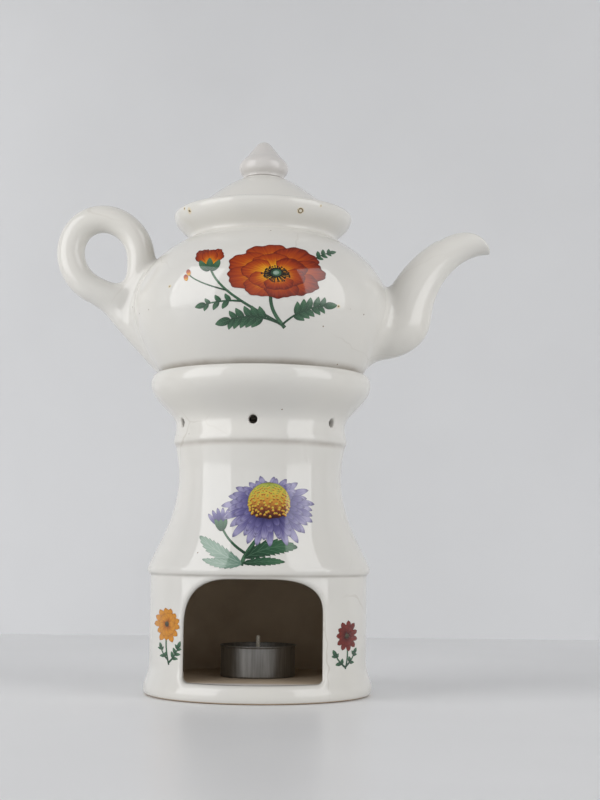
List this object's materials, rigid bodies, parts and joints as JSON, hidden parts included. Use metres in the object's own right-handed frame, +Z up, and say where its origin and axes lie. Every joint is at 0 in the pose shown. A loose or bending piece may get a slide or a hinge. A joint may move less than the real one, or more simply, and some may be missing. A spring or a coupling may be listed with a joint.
{
  "type": "veilleuse",
  "caption": "Glazed ceramic teapot with a loop handle and a swan-neck spout, standing in the cup of a hollow waisted warmer with a doorway for a tea light; pot and lid lift off.",
  "frame": {"origin": "centre of the stand's foot, on the table", "axes": "+Z up, -Y out of the doorway, +X towards the spout"},
  "size_m": [0.2286, 0.1342, 0.287],
  "materials": {
    "glazed_earthenware": "gloss",
    "aluminium_sheet": "bright",
    "paraffin_wax": "waxy",
    "tinned_steel": "satin",
    "cotton": "matte"
  },
  "bodies": {
    "stand": {"warmer_stand": "glazed_earthenware"},
    "pot": {"pot_body": "glazed_earthenware", "spout": "glazed_earthenware", "handle": "glazed_earthenware"},
    "lid": {"lid": "glazed_earthenware", "lid_knob": "glazed_earthenware"},
    "tealight": {"tealight_cup": "aluminium_sheet", "tealight_wax": "paraffin_wax", "wick_tab": "tinned_steel", "wick": "cotton"}
  },
  "joints": [
    {"name": "pot_lift", "type": "slide", "parent": "stand", "child": "pot", "axis": [0, 0, 1], "range_m": [0, 0.1]},
    {"name": "lid_lift", "type": "slide", "parent": "pot", "child": "lid", "axis": [0, 0, 1], "range_m": [0, 0.06]},
    {"name": "tealight_slide", "type": "slide", "parent": "stand", "child": "tealight", "axis": [0, -1, 0], "range_m": [0, 0.11]}
  ]
}
